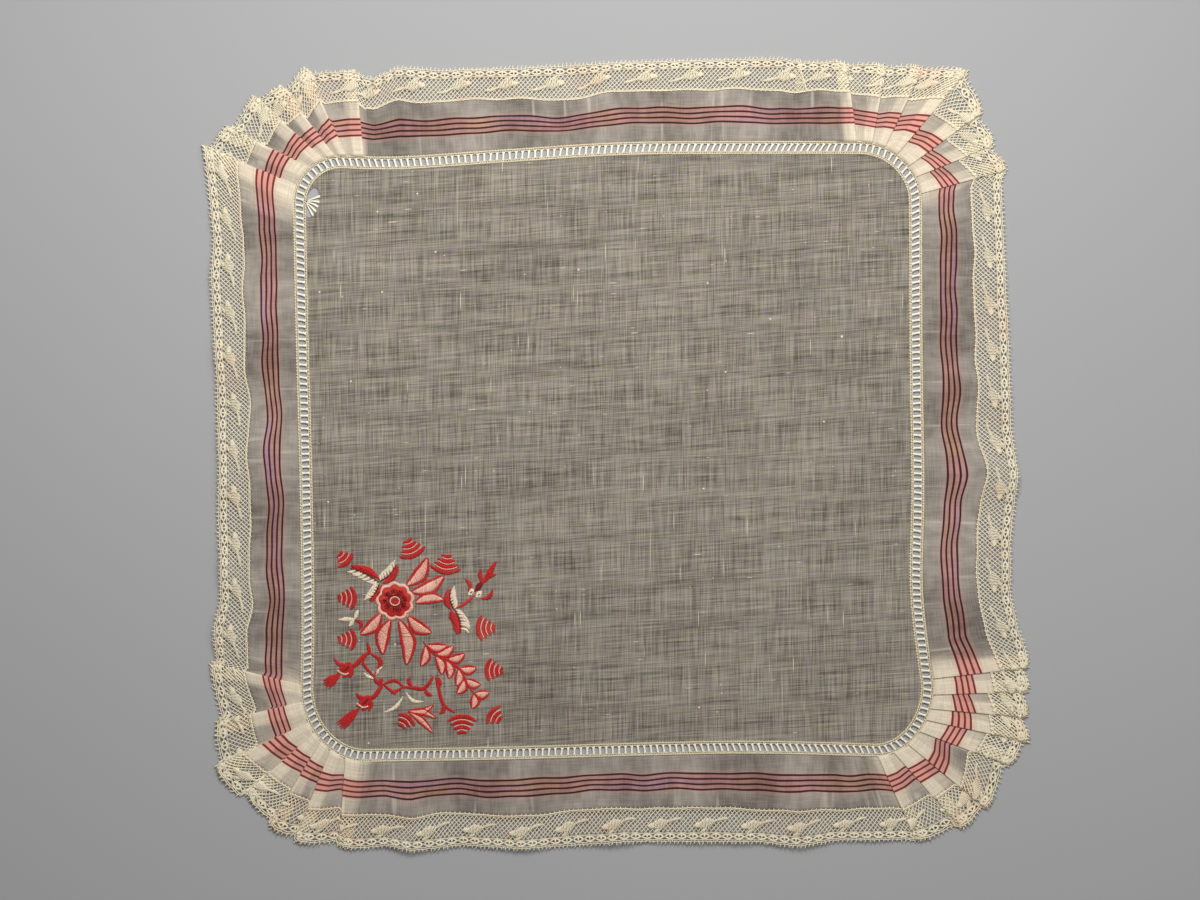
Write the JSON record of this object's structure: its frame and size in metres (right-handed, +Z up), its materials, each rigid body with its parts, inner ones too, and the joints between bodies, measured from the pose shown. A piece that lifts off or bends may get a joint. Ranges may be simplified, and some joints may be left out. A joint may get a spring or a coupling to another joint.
{
  "type": "lace-edged linen handkerchief",
  "caption": "Square sheer linen handkerchief lying flat, with a ladder insertion, a striped frill pleated round the corners, a lace edging and red corner embroidery.",
  "frame": {"origin": "on the surface it lies on, under the middle of the handkerchief's box", "axes": "+X to the right and +Y away, seen from above with the embroidery near the viewer's left; +Z up"},
  "size_m": [0.3318, 0.3194, 0.0036],
  "materials": {
    "panel_linen": "sheer matt linen with slubs",
    "insertion_thread": "matt cream thread",
    "frill_cloth": "sheer matt cotton with woven red stripes",
    "lace_thread": "matt cream bobbin lace"
  },
  "bodies": {
    "root": {"linen_panel": "panel_linen", "ladder_insertion": "insertion_thread", "striped_frill": "frill_cloth", "lace_edging": "lace_thread"}
  },
  "joints": []
}
